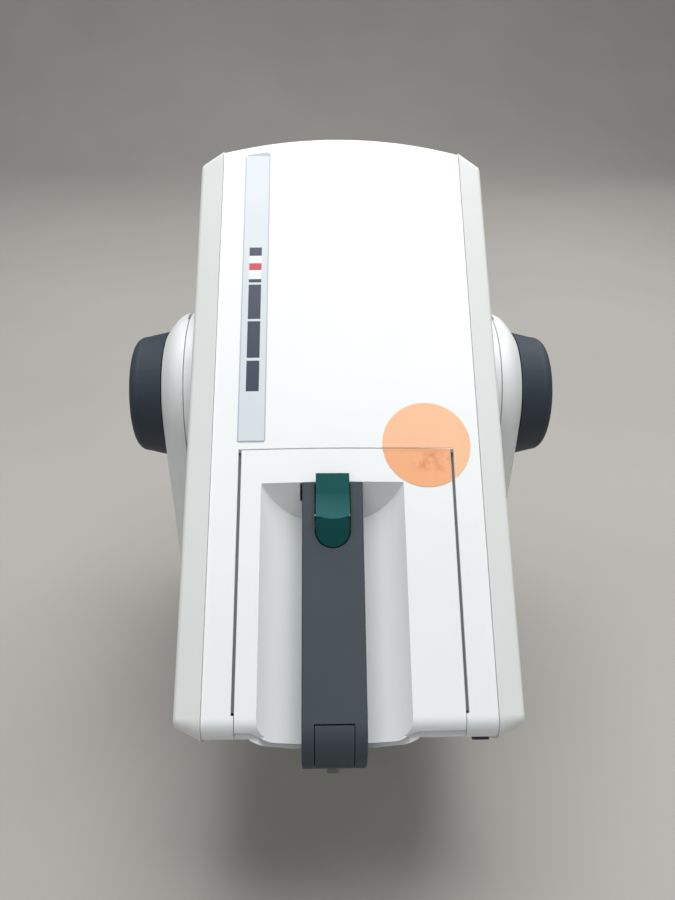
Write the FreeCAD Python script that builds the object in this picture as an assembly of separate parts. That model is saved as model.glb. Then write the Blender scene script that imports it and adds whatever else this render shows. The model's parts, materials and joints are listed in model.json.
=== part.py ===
import FreeCAD, Part
import math
import os

# Countertop mixer for dental impression paste. A tilted housing hangs between two arms of a
# stand. Two plungers on racks push paste out of a cartridge while a long shaft spins the
# mixing tip at the lower front end. Millimetres.
#
# Housing pieces are drawn in the housing's own frame and tilted into the row frame at the end:
#   x  across, the user's right is +
#   s  along the housing (Y), 0 near the lower front end, growing to the upper rear end
#   n  out of the housing's top face (Z), 0 at the long seams, minus inside
# Stand pieces are drawn in the row frame, with y measured from the hand wheel axle.

V = FreeCAD.Vector

# ---- overall sizes of the housing -------------------------------------------------------
TILT = 40.0               # slope of the housing, degrees above the table
LIFT = 135.0              # height of the housing frame's zero point above the table
BODY_WIDTH = 184.0
BODY_DEPTH = 116.0
REAR_S = 363.2            # rear wall at the long seams
REAR_BULGE = 10.0         # how far the rear wall swells at the middle
FRONT_S = 1.0             # front wall
NOSE_S = -4.0             # foremost point of the front panel's swell under the scoop
WALL = 2.5                # moulded covers
SIDE_STRIP = 15.5         # width of a side cover's top strip
SEAM_GAP = 0.2            # hairline between two covers
SEAM_LIP = 1.0            # how far a side cover stands proud at the seam
STRIP_FALL = 6.5          # how far a side cover slopes in towards its outer face
CROWN_RADIUS = 1700.0     # gentle cross curve of the top face
FRONT_ROUND = 10.0
REAR_TOP_ROUND = 6.0
LEAST_CORNER = 4.4        # no corner of a side outline is tighter than this
REAR_LOW_ROUND = 26.0
BELLY_ROUND = 14.0
CHIN_N = -72.0            # where the front wall turns into the sloping chin
COVER_SPLIT_N = -66.0     # joint of the top and bottom covers
SIDE_EDGE_ROUND = 4.0

# ---- flap and handle --------------------------------------------------------------------
FLAP_TOP_S = 156.0
FLAP_HALF = 59.5
FLAP_SIDE_GAP = 1.8
FLAP_TOP_GAP = 0.7
FLAP_FRONT_GAP = 0.4      # at the sides of the flap's lower edge
FLAP_LOW_GAP = 1.1
LEDGE_TOP_N = -5.4
LEDGE_GAP = 0.8           # between the scoop's wall and the panel under it
LEDGE_BACK = 1.6          # the panel's ledge runs this far back under the flap's lower edge
LEDGE_CLEAR_HALF = 21.5   # no ledge behind the port, where the latch works
GAP_END_S = 12.7          # the side gaps close up ahead of this
FLAP_SKIRT_N = -15.5
FLAP_BEVEL = 30.0         # slant of the top seam, so that the flap can rise out of it
HINGE_S = 192.0
HINGE_N = -9.0
HINGE_PIN_R = 3.0
HINGE_ARM_X = 51.0
HINGE_ARM_THICK = 4.0
HINGE_ARM_REACH = 43.5
HINGE_ARM_WIDTH = 7.0
DRIVE_X = -8.2            # mixing shaft, handle and scoop share this centre
SCOOP_HALF = 39.2
SCOOP_FLOOR_N = -15.0
SCOOP_SIDE_ROUND = 37.5
SCOOP_TOP_S = 134.6
SCOOP_SLOPE = 42.0
BAR_WIDTH = 33.8
BAR_TOP_S = 135.6
BAR_TOP_N = 4.0
BAR_WALL = 3.0
BAR_NOSE_S = -14.0        # foremost point of the handle's curled end
BAR_NOSE_ROUND = 23.0
BAR_TIP_N = -29.0
BAR_EDGE_ROUND = 1.2
BAR_SEAT_CLEAR = 1.0
BAR_BOSS_R = 4.5          # two bosses stand the handle on the scoop's floor
BAR_BOSS_S = (28.0, 80.0)
KEY_WIDTH = 18.6          # start key
KEY_FOOT_S = 98.9
KEY_END_S = 139.6
KEY_RIDGE_S = 112.6
KEY_RIDGE_RISE = 8.0
KEY_DISH_RADIUS = 25.8
KEY_DISH_RISE = 3.1
KEY_GAP = 0.7
KEY_PIVOT_S = 118.5
KEY_PIVOT_N = -6.0
TAB_WIDTH = 20.0          # release tab in the handle's curled end
TAB_GAP = 0.45
TAB_TOP_GAP = 0.8         # wider, because the pressed tab moves back
TAB_FROM = 3.7            # degrees round the curl
TAB_TO = 66.0
TAB_THICK = 2.5
HOOK_HALF = 13.2
HOOK_END_S = -1.9         # stops short of the catch, so that flap and latch move freely
TAB_PIVOT_S = -4.6
TAB_PIVOT_N = -7.6
HOOK_GAP = 0.5

# ---- drive ------------------------------------------------------------------------------
AXLE_S = 224.0
AXLE_N = -80.0
AXLE_R = 6.0
SHAFT_N = -45.0
SHAFT_R = 4.0
SHAFT_END_R = 3.5         # journal that the mixing tip slides over
SHAFT_END_LENGTH = 12.0
SHAFT_TIP_S = -18.0
HEX_FLATS = 6.0
HEX_LENGTH = 5.0
PRESSURE_ANGLE = 20.0
RACK_MODULE = 2.0
RACK_PINION_TEETH = 18
RACK_WIDTH = 12.0
RACK_BACK_N = -38.0
RACK_LENGTH = 190.0
PLUNGER_BACK_S = 152.0
PLUNGER_THICK = 6.0
BASE_PLUNGER_R = 22.0
CATALYST_PLUNGER_R = 12.0
BAG_GAP = 8.0             # from the shaft's centre to each paste bag
BAG_CLEAR = 1.0
FINE_MODULE = 1.0
SHAFT_GEAR_TEETH = 24
MOTOR_GEAR_TEETH = 40
MOTOR_SWING = 10.8        # degrees that the motor sits off the line under the shaft
FEED_GEAR_TEETH = 56
FEED_PINION_TEETH = 18
FEED_DROP = 35.83         # degrees that the feed pinion sits below the axle, ahead of it
GEAR_WIDTH = 6.0
BACKLASH = 0.2
RUNNING_CLEAR = 0.05
FREE_CLEAR = 0.4

# ---- chassis ----------------------------------------------------------------------------
PLATE_INNER_X = 60.0
PLATE_THICK = 2.0
PLATE_TOP_N = -3.2
PLATE_LOW_N = -104.0
PLATE_FRONT_S = 14.0
PLATE_REAR_S = 335.0
CRADLE_HALF = 50.0
CRADLE_WALL = 1.5
CRADLE_FLOOR_N = -72.0
CRADLE_TOP_N = -24.0
CRADLE_FRONT_S = 6.0
BULKHEAD_S = 154.0
BULKHEAD_THICK = 3.0
MOTOR_PLATE_S = 262.0
GEAR_STAGE_S = 250.0
BEARING_R = 11.0
BEARING_WIDTH = 7.0
PORT_HALF = 16.5          # U-shaped port for the cartridge's nose
PORT_LOW_N = -62.0
PORT_ROUND = 15.0
CATCH_TOP_N = -18.4
CATCH_LOW_N = -21.8
CATCH_HALF_GAP = 10.0     # clear middle between the two catch tabs
PANEL_REAR_GAP = 1.0
COVER_SCREW_N = -76.0
BOARD_POST = 5.5          # the control board stands this high off the bottom cover

# ---- stand ------------------------------------------------------------------------------
HUB_RING_R = 55.0
HUB_RING_OUT = 8.0        # how far the ring stands off the side cover
ARM_GAP = 0.3
ARM_THICK = 15.7
ARM_DOME_FALL = 13.0      # how far the arm's outline draws in at its outer face
REAR_ARM_GAP = 1.1        # the rear arm covers stand off the hub ring
ARM_WALL = 3.0
FOOT_FRONT = -96.0
FOOT_REAR = 92.0
FOOT_TOE_HALF = 70.0
FOOT_PLATE_THICK = 4.0
RUBBER_HEIGHT = 4.0
RUBBER_R = 9.0
VENT_COUNT = 6            # slots in the back of the foot
VENT_LOW_Z = 52.0
VENT_PITCH = 4.2
VENT_HEIGHT = 1.8
VENT_HALF = 45.0
UPRIGHT_THICK = 3.0
TRUNNION_R = 25.0
TRUNNION_BORE = 9.0
BENCH_HOLE_R = 2.75
BENCH_SPACING_X = 120.0
BENCH_SPACING_Y = 90.0
WHEEL_R = 42.5
WHEEL_FACE_R = 39.0
WHEEL_WIDTH = 22.0
WHEEL_EDGE_ROUND = 7.0
WHEEL_GAP = 0.6
INLET_X = -42.0
SWITCH_X = 30.0
SOCKET_Z = 34.0

# ---- worked out -------------------------------------------------------------------------
BODY_HALF = BODY_WIDTH / 2
SEAM_X = BODY_HALF - SIDE_STRIP
CROWN_RISE = CROWN_RADIUS - math.sqrt(CROWN_RADIUS ** 2 - SEAM_X ** 2)
REAR_MID_S = REAR_S + REAR_BULGE
REAR_RADIUS = (SEAM_X ** 2 + REAR_BULGE ** 2) / (2 * REAR_BULGE)
BAR_X0 = DRIVE_X - BAR_WIDTH / 2
BAR_X1 = DRIVE_X + BAR_WIDTH / 2
BASE_X = DRIVE_X + BAG_GAP + BASE_PLUNGER_R + BAG_CLEAR
CATALYST_X = DRIVE_X - BAG_GAP - CATALYST_PLUNGER_R - BAG_CLEAR
RACK_PITCH_R = RACK_MODULE * RACK_PINION_TEETH / 2
RACK_PITCH_N = AXLE_N + RACK_PITCH_R
MOTOR_CENTRES = FINE_MODULE * (SHAFT_GEAR_TEETH + MOTOR_GEAR_TEETH) / 2
MOTOR_X = DRIVE_X + MOTOR_CENTRES * math.sin(math.radians(MOTOR_SWING))
MOTOR_N = SHAFT_N - MOTOR_CENTRES * math.cos(math.radians(MOTOR_SWING))
FEED_CENTRES = FINE_MODULE * (FEED_GEAR_TEETH + FEED_PINION_TEETH) / 2
FEED_S = AXLE_S - FEED_CENTRES * math.cos(math.radians(FEED_DROP))
FEED_N = AXLE_N - FEED_CENTRES * math.sin(math.radians(FEED_DROP))
ARM_X0 = BODY_HALF + HUB_RING_OUT + ARM_GAP
ARM_X1 = ARM_X0 + ARM_THICK
UPRIGHT_X0 = ARM_X0 + ARM_WALL + 2.7
WHEEL_X0 = ARM_X1 + WHEEL_GAP
WHEEL_X1 = WHEEL_X0 + WHEEL_WIDTH
FLAP_OPENING_HALF = FLAP_HALF + FLAP_SIDE_GAP
CHAMFER_SHARE = math.sqrt(2) - 1# corner shift per millimetre of inset at a 45 degree turn


# ---- drawing helpers --------------------------------------------------------------------
def box(x0, x1, y0, y1, z0, z1):
    return Part.makeBox(x1 - x0, y1 - y0, z1 - z0, V(x0, y0, z0))


def rod_x(y, z, radius, x0, x1):
    return Part.makeCylinder(radius, x1 - x0, V(x0, y, z), V(1, 0, 0))


def rod_y(x, z, radius, y0, y1):
    return Part.makeCylinder(radius, y1 - y0, V(x, y0, z), V(0, 1, 0))


def rod_z(x, y, radius, z0, z1):
    return Part.makeCylinder(radius, z1 - z0, V(x, y, z0), V(0, 0, 1))


def fuse(shapes):
    whole = shapes[0]
    for shape in shapes[1:]:
        whole = whole.fuse(shape)
    return whole.removeSplitter()


def mirrored(shape):
    """The same piece on the other side of the middle plane."""
    return shape.mirror(V(0, 0, 0), V(1, 0, 0))


def both_sides(shape):
    """A pair of separate solids, right and left."""
    return Part.makeCompound([shape, mirrored(shape)])


def rounded_wire(corners, place):
    """Closed wire through corners (u, v, radius), mapped to space by place(u, v)."""
    count = len(corners)
    starts, ends, middles = [], [], []
    for i, (u, v, radius) in enumerate(corners):
        here = V(u, v, 0)
        before = V(*corners[i - 1][:2], 0) - here
        after = V(*corners[(i + 1) % count][:2], 0) - here
        before.normalize()
        after.normalize()
        if radius <= 0:
            starts.append(here)
            ends.append(here)
            middles.append(None)
            continue
        half = before.getAngle(after) / 2
        reach = radius / math.tan(half)
        inward = before + after
        inward.normalize()
        centre = here + inward * (radius / math.sin(half))
        starts.append(here + before * reach)
        ends.append(here + after * reach)
        middles.append(centre - inward * radius)
    edges = []
    for i in range(count):
        if middles[i] is not None:
            points = [place(p.x, p.y) for p in (starts[i], middles[i], ends[i])]
            edges.append(Part.Arc(*points).toShape())
        p, q = ends[i], starts[(i + 1) % count]
        if (q - p).Length > 1e-6:
            edges.append(Part.makeLine(place(p.x, p.y), place(q.x, q.y)))
    return Part.Wire(Part.__sortEdges__(edges))


def prism_x(corners, x0, x1):
    """Side outline of (y, z, radius) corners, pulled across from x0 to x1."""
    wire = rounded_wire(corners, lambda u, v: V(x0, u, v))
    return Part.Face(wire).extrude(V(x1 - x0, 0, 0))


def prism_y(corners, y0, y1):
    """Front outline of (x, z, radius) corners, pulled along from y0 to y1."""
    wire = rounded_wire(corners, lambda u, v: V(u, y0, v))
    return Part.Face(wire).extrude(V(0, y1 - y0, 0))


def prism_z(corners, z0, z1):
    """Plan outline of (x, y, radius) corners, pulled up from z0 to z1."""
    wire = rounded_wire(corners, lambda u, v: V(u, v, z0))
    return Part.Face(wire).extrude(V(0, 0, z1 - z0))


def fillet_where(shape, radius, test):
    """Rounds the edges whose every vertex and middle point pass the test."""
    chosen = []
    for edge in shape.Edges:
        middle = edge.valueAt((edge.FirstParameter + edge.LastParameter) / 2)
        if all(test(p) for p in [middle] + [v.Point for v in edge.Vertexes]):
            chosen.append(edge)
    return shape.makeFillet(radius, chosen)


def near(a, b, slack=0.05):
    return abs(a - b) < slack


# ---- gears ------------------------------------------------------------------------------
def involute_flank(base_r, from_r, to_r, steps=5):
    """Points (radius, angle) along one flank, angle measured from the base circle's start."""
    points = []
    for i in range(steps + 1):
        r = from_r + (to_r - from_r) * i / steps
        roll = math.sqrt(max((r / base_r) ** 2 - 1, 0))
        points.append((r, roll - math.atan(roll)))
    return points


def gear(teeth, module, bore, width, first_tooth=0.0):
    """Spur gear about +X from x = 0, with a tooth centred at first_tooth degrees from +Y to +Z."""
    pitch_r = module * teeth / 2
    base_r = pitch_r * math.cos(math.radians(PRESSURE_ANGLE))
    root_r = pitch_r - 1.25 * module
    tip_r = pitch_r + module
    spread = math.tan(math.radians(PRESSURE_ANGLE)) - math.radians(PRESSURE_ANGLE)
    half_pitch = math.pi / (2 * teeth) - BACKLASH / (4 * pitch_r)
    flank = involute_flank(base_r, max(base_r, root_r), tip_r)
    edges = []

    def point(r, angle):
        return V(0, r * math.cos(angle), r * math.sin(angle))

    for i in range(teeth):
        centre = math.radians(first_tooth) + 2 * math.pi * i / teeth
        half = half_pitch + spread
        rise = [point(r, centre - half + a) for r, a in flank]
        fall = [point(r, centre + half - a) for r, a in reversed(flank)]
        foot_in = point(root_r, centre - half + flank[0][1])
        foot_out = point(root_r, centre + half - flank[0][1])
        next_in = point(root_r, centre + 2 * math.pi / teeth - half + flank[0][1])
        valley = point(root_r, centre + math.pi / teeth)
        up, down = Part.BSplineCurve(), Part.BSplineCurve()
        up.interpolate(rise)
        down.interpolate(fall)
        if root_r < base_r:
            edges.append(Part.makeLine(foot_in, rise[0]))
        edges.append(up.toShape())
        edges.append(Part.Arc(rise[-1], point(tip_r, centre), fall[0]).toShape())
        edges.append(down.toShape())
        if root_r < base_r:
            edges.append(Part.makeLine(fall[-1], foot_out))
        edges.append(Part.Arc(foot_out, valley, next_in).toShape())
    blank = Part.Face(Part.Wire(edges)).extrude(V(width, 0, 0))
    return blank.cut(rod_x(0, 0, bore, -1, width + 1))


def turned_to_s(shape):
    """Turns a piece drawn about +X so that it lies about +Y, keeping Z up."""
    return shape.rotated(V(0, 0, 0), V(0, 0, 1), 90)


# ---- housing covers ---------------------------------------------------------------------
def side_corners(inset):
    """The housing's side outline, drawn in by inset all round."""
    shift = inset * CHAMFER_SHARE
    chin_s = FRONT_S + BODY_DEPTH + CHIN_N
    return [
        (FRONT_S + inset, -inset, max(FRONT_ROUND - inset, LEAST_CORNER)),
        (REAR_S - inset, -inset, max(REAR_TOP_ROUND - inset, LEAST_CORNER)),
        (REAR_S - inset, -BODY_DEPTH + inset, REAR_LOW_ROUND - inset),
        (chin_s + shift, -BODY_DEPTH + inset, BELLY_ROUND - inset),
        (FRONT_S + inset, CHIN_N + shift, BELLY_ROUND - inset),
    ]


def middle_block(inset, half_width):
    """The housing between its long seams: crowned on top and swollen at the rear."""
    above = 20.0
    corners = side_corners(inset)
    outline = [
        (corners[0][0], above, 0),
        (REAR_MID_S + above, above, 0),
        (REAR_MID_S + above, corners[2][1], 0),
        corners[3],
        corners[4],
    ]
    block = prism_x(outline, -half_width, half_width)
    crown = rod_y(0, CROWN_RISE - CROWN_RADIUS, CROWN_RADIUS - inset, -100, REAR_MID_S + 100)
    swell = rod_z(0, REAR_MID_S - REAR_RADIUS, REAR_RADIUS - inset, -BODY_DEPTH - 50, 100)
    reach = box(-half_width, half_width, -100, REAR_MID_S - REAR_RADIUS, -BODY_DEPTH - 50, 100)
    block = block.common(crown).common(swell.fuse(reach)).removeSplitter()
    front = corners[0][0]
    low = corners[2][1]
    far = REAR_S - 12 - inset

    def on_front_top(p):
        return near(p.y, front) and p.z > -12

    def on_rear_top(p):
        return p.y > far and p.z > -12

    def on_rear_low(p):
        return p.y > far and near(p.z, low)

    block = fillet_where(block, corners[0][2], on_front_top)
    block = fillet_where(block, corners[1][2], on_rear_top)
    return fillet_where(block, corners[2][2], on_rear_low)


def swell(room):
    """Block of the front's swell under the scoop, drawn in by room."""
    side, nose, back = FRONT_S + room, NOSE_S + room, 30
    half = [(44, back, 0), (44, side - 0.3, 2), (37, side - 3.2, 6), (22, nose, 18)]
    plan = [(DRIVE_X - x, s, r) for x, s, r in half] + [(DRIVE_X + x, s, r) for x, s, r in half[::-1]]
    return prism_z(plan, COVER_SPLIT_N, -4)


def flap_edge_plan(back):
    """Plan of everything ahead of the flap's lower edge, or of a line that far back from it."""
    half = [(120, -60, 0), (120, 5.2, 0), (43, 4.2, 4), (33, -0.6, 8), (18, NOSE_S + 2.3, 12)]
    half = [half[0]] + [(x, s + back, r) for x, s, r in half[1:]]
    return [(DRIVE_X - x, s, r) for x, s, r in half] + [(DRIVE_X + x, s, r) for x, s, r in half[::-1]]


def scoop_tool(grow):
    """The finger scoop round the handle, as the space it takes, grown by a wall."""
    floor = SCOOP_FLOOR_N - grow
    radius = SCOOP_SIDE_ROUND + grow
    reach = math.sqrt(SCOOP_SIDE_ROUND ** 2 - (SCOOP_SIDE_ROUND + SCOOP_FLOOR_N) ** 2)
    flat0 = DRIVE_X - SCOOP_HALF + reach
    flat1 = DRIVE_X + SCOOP_HALF - reach
    trough = fuse([
        box(flat0, flat1, -60, SCOOP_TOP_S + 60, floor, 40),
        rod_y(flat0, floor + radius, radius, -60, SCOOP_TOP_S + 60),
        rod_y(flat1, floor + radius, radius, -60, SCOOP_TOP_S + 60),
        box(flat0 - radius, flat1 + radius, -60, SCOOP_TOP_S + 60, floor + radius, 40),
    ])
    lean = math.tan(math.radians(SCOOP_SLOPE))
    back = grow / math.sin(math.radians(SCOOP_SLOPE))
    edge = SCOOP_TOP_S + back + CROWN_RISE / lean
    keep = [(-60, floor - 1, 0), (edge + (floor - 1 - CROWN_RISE) / lean, floor - 1, 0),
            (edge + (40 - CROWN_RISE) / lean, 40, 0), (-60, 40, 0)]
    return trough.common(prism_x(keep, flat0 - radius - 1, flat1 + radius + 1))


def under_flap(drop):
    """What lies under the flap's lower edge, lowered by drop."""
    block = box(-90, 90, -60, 12, -120, LEDGE_TOP_N - drop)
    return block.cut(scoop_tool(WALL + LEDGE_GAP + drop))


def bevel_cut(edge_s, side):
    """Everything behind (side 1) or ahead (side -1) of the slanted top seam through edge_s."""
    lean = math.tan(math.radians(FLAP_BEVEL))
    far = edge_s + side * 400
    return prism_x([
        (edge_s + (60 - CROWN_RISE) * lean, 60, 0), (edge_s + (-60 - CROWN_RISE) * lean, -60, 0),
        (far, -60, 0), (far, 60, 0)], -120, 120)


def make_covers():
    outer = middle_block(0, SEAM_X)
    inner = middle_block(WALL, SEAM_X + 5)
    band = outer.cut(inner)
    above = box(-200, 200, -100, 500, COVER_SPLIT_N, 100)
    below = box(-200, 200, -100, 500, -300, COVER_SPLIT_N - SEAM_GAP)
    edge = FLAP_TOP_S + FLAP_TOP_GAP
    opening = box(-FLAP_OPENING_HALF, FLAP_OPENING_HALF, -60, FLAP_TOP_S + 60, COVER_SPLIT_N - 1, 60)
    opening = opening.cut(bevel_cut(edge, 1))
    side_gap = FLAP_HALF + FLAP_FRONT_GAP
    narrowing = box(-FLAP_OPENING_HALF, FLAP_OPENING_HALF, -60, GAP_END_S, COVER_SPLIT_N - 1, 60)
    narrowing = narrowing.cut(box(-side_gap, side_gap, -60, GAP_END_S, COVER_SPLIT_N - 1, 60))
    top = band.common(above).cut(opening.cut(narrowing))
    panel_tool = under_flap(0)
    panel_half = side_gap - SEAM_GAP
    panel_area = box(-panel_half, panel_half, -60, 12, COVER_SPLIT_N, 60)
    panel = outer.fuse(swell(0)).cut(inner.fuse(swell(WALL)))
    shelf = outer.fuse(swell(0)).cut(under_flap(WALL))
    shelf = shelf.common(prism_z(flap_edge_plan(LEDGE_BACK), -60, 60))
    shelf = shelf.cut(box(DRIVE_X - LEDGE_CLEAR_HALF, DRIVE_X + LEDGE_CLEAR_HALF, -60, 12, -60, 0))
    panel = panel.fuse(shelf).common(panel_area).common(panel_tool).cut(port_tool()).removeSplitter()
    bottom = band.common(below)
    rear_screws = [(x, n) for x in (-55, 55) for n in (-76,)]
    for x, n in rear_screws:
        bottom = bottom.cut(rod_y(x, n, 2.2, REAR_S - 30, REAR_S + 30))
    return {"top_cover": top, "front_panel": panel, "bottom_cover": bottom}


def port_tool():
    """The open-topped port that the mixing tip and the shaft pass through."""
    x0, x1 = DRIVE_X - PORT_HALF, DRIVE_X + PORT_HALF
    outline = [(x0, 60, 0), (x0, PORT_LOW_N, PORT_ROUND), (x1, PORT_LOW_N, PORT_ROUND), (x1, 60, 0)]
    return prism_y(outline, -60, 12)


def make_latch_catch():
    """Steel strip behind the front panel whose two tabs the latch hooks under."""
    back = NOSE_S + WALL
    outer = PORT_HALF + 4
    legs = box(DRIVE_X - outer, DRIVE_X + outer, back, back + 1.5, CATCH_LOW_N - 12, CATCH_TOP_N)
    inner = PORT_HALF + 1
    window = box(DRIVE_X - inner, DRIVE_X + inner, back - 1, back + 3, CATCH_LOW_N - 13, CATCH_LOW_N)
    x0, x1 = DRIVE_X - CATCH_HALF_GAP, DRIVE_X + CATCH_HALF_GAP
    middle = box(x0, x1, back - 1, back + 3, CATCH_LOW_N - 1, CATCH_TOP_N - 2)
    return legs.cut(window).cut(middle)


def side_loft(stations):
    """A cover solid through side outlines at (x, inset) stations."""
    wires = [rounded_wire(side_corners(inset), lambda u, v, x=x: V(x, u, v)) for x, inset in stations]
    return Part.makeLoft(wires, True, True)


def make_side_cover():
    start = SEAM_X + SEAM_GAP
    outer = side_loft([(start, -SEAM_LIP), (BODY_HALF, STRIP_FALL)])
    outer = fillet_where(outer, SIDE_EDGE_ROUND, lambda p: near(p.x, BODY_HALF))
    inner = side_loft([(start - 1, WALL - SEAM_LIP), (BODY_HALF - WALL, STRIP_FALL + WALL)])
    return outer.cut(inner).cut(rod_x(AXLE_S, AXLE_N, TRUNNION_R + 1.5, BODY_HALF - 20, BODY_HALF + 20))


def make_hub_ring():
    """Boss between side cover and arm: a round channel that is open towards the trunnion."""
    x0, x1 = BODY_HALF, BODY_HALF + HUB_RING_OUT
    ring = rod_x(AXLE_S, AXLE_N, HUB_RING_R, x0, x1)
    ring = fillet_where(ring, 1.0, lambda p: near(p.x, x1))
    ring = ring.cut(rod_x(AXLE_S, AXLE_N, HUB_RING_R - WALL, x0 + WALL, x1 - WALL))
    return ring.cut(rod_x(AXLE_S, AXLE_N, TRUNNION_R + 1.5, x0 - 1, x1 + 1))


# ---- flap, handle, key and latch --------------------------------------------------------
def make_flap():
    area = box(-FLAP_HALF, FLAP_HALF, -60, FLAP_TOP_S + 20, SCOOP_FLOOR_N - WALL, 60)
    room = box(-FLAP_HALF + WALL, FLAP_HALF - WALL, -60, FLAP_TOP_S + 20, -60, 60)
    outer = middle_block(0, SEAM_X).fuse(swell(0)).common(area)
    outer = outer.cut(bevel_cut(FLAP_TOP_S, 1)).cut(scoop_tool(0))
    inner = middle_block(WALL, SEAM_X).fuse(swell(WALL)).common(room).cut(scoop_tool(WALL))
    shell = outer.cut(inner).cut(prism_z(flap_edge_plan(0), -60, 60))
    shell = shell.cut(under_flap(-FLAP_LOW_GAP))
    seat = box(BAR_X0 - 1.2, BAR_X1 + 0.2, 127.5, BAR_TOP_S + 0.3, SCOOP_FLOOR_N + 1, 20)
    shell = shell.cut(seat)
    solids = sorted(shell.Solids, key=lambda s: s.Volume)
    return solids[-1]


def hinge_arm_corners():
    """Radii of the curved arm that reaches from the pin, under the top cover's edge, to the flap."""
    return HINGE_ARM_REACH - HINGE_ARM_WIDTH / 2, HINGE_ARM_REACH + HINGE_ARM_WIDTH / 2


def make_hinge_arms():
    near_r, far_r = hinge_arm_corners()
    x0 = HINGE_ARM_X
    x1 = x0 + HINGE_ARM_THICK
    ring = rod_x(HINGE_S, HINGE_N, far_r, x0, x1).cut(rod_x(HINGE_S, HINGE_N, near_r, x0 - 1, x1 + 1))
    arc = ring.common(box(x0, x1, HINGE_S - far_r - 1, HINGE_S, HINGE_N - far_r - 1, -5.5))
    half = HINGE_ARM_WIDTH / 2
    spoke = box(x0, x1, HINGE_S - half, HINGE_S + half, HINGE_N - far_r + 0.4, HINGE_N)
    eye = rod_x(HINGE_S, HINGE_N, half + 1.2, x0, x1)
    pad_top = -WALL - 1.3
    foot = box(x0, x1, HINGE_S - far_r - 24, HINGE_S - near_r, pad_top - 8, pad_top)
    arm = fuse([arc, spoke, eye, foot])
    arm = arm.cut(rod_x(HINGE_S, HINGE_N, HINGE_PIN_R + RUNNING_CLEAR, x0 - 1, x1 + 1))
    return both_sides(arm)


def make_hinge_pins():
    pin = rod_x(HINGE_S, HINGE_N, HINGE_PIN_R, HINGE_ARM_X - 1.5, PLATE_INNER_X)
    head = rod_x(HINGE_S, HINGE_N, HINGE_PIN_R + 1.2, HINGE_ARM_X - 3, HINGE_ARM_X - 1.5)
    pin = pin.fuse(head)
    return both_sides(pin)


def bar_side(inset, x0, x1):
    """The handle's body between x0 and x1: flat top, curled nose, foot on the scoop's floor."""
    curl_s = BAR_NOSE_S + BAR_NOSE_ROUND
    curl_n = BAR_TOP_N - BAR_NOSE_ROUND
    radius = BAR_NOSE_ROUND - inset
    clear = BAR_SEAT_CLEAR
    floor = SCOOP_FLOOR_N + clear
    lean = math.tan(math.radians(SCOOP_SLOPE))
    slope_foot = SCOOP_TOP_S + (floor - 0) / lean - clear
    inner_s = NOSE_S - 0.7
    half = math.sqrt(0.5)
    top_end = BAR_TOP_S - inset
    p = lambda s, n: V(x0, s, n)
    points = [
        p(top_end, BAR_TOP_N - inset),
        p(curl_s, BAR_TOP_N - inset),
        p(curl_s - radius * half, curl_n + radius * half),
        p(curl_s - radius, curl_n),
        p(curl_s - radius, BAR_TIP_N + inset),
        p(inner_s - inset, BAR_TIP_N + inset),
        p(inner_s - inset, floor),
        p(slope_foot, floor),
        p(top_end, floor + (top_end - slope_foot) * lean),
    ]
    edges = [Part.makeLine(points[0], points[1]), Part.Arc(*points[1:4]).toShape()]
    edges += [Part.makeLine(a, b) for a, b in zip(points[3:], points[4:] + points[:1])]
    return Part.Face(Part.Wire(edges)).extrude(V(x1 - x0, 0, 0))


def curl_piece(from_deg, to_deg, outer_r, inner_r, x0, x1):
    """A sector of the handle's curl between two angles from its top."""
    curl_s = BAR_NOSE_S + BAR_NOSE_ROUND
    curl_n = BAR_TOP_N - BAR_NOSE_ROUND
    ring = rod_x(curl_s, curl_n, outer_r, x0, x1).cut(rod_x(curl_s, curl_n, inner_r, x0 - 1, x1 + 1))
    far = outer_r * 3
    a, b = math.radians(from_deg), math.radians(to_deg)
    wedge = prism_x([
        (curl_s, curl_n, 0),
        (curl_s - far * math.sin(a), curl_n + far * math.cos(a), 0),
        (curl_s - far * math.sin(b), curl_n + far * math.cos(b), 0)], x0, x1)
    return ring.common(wedge)


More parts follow.
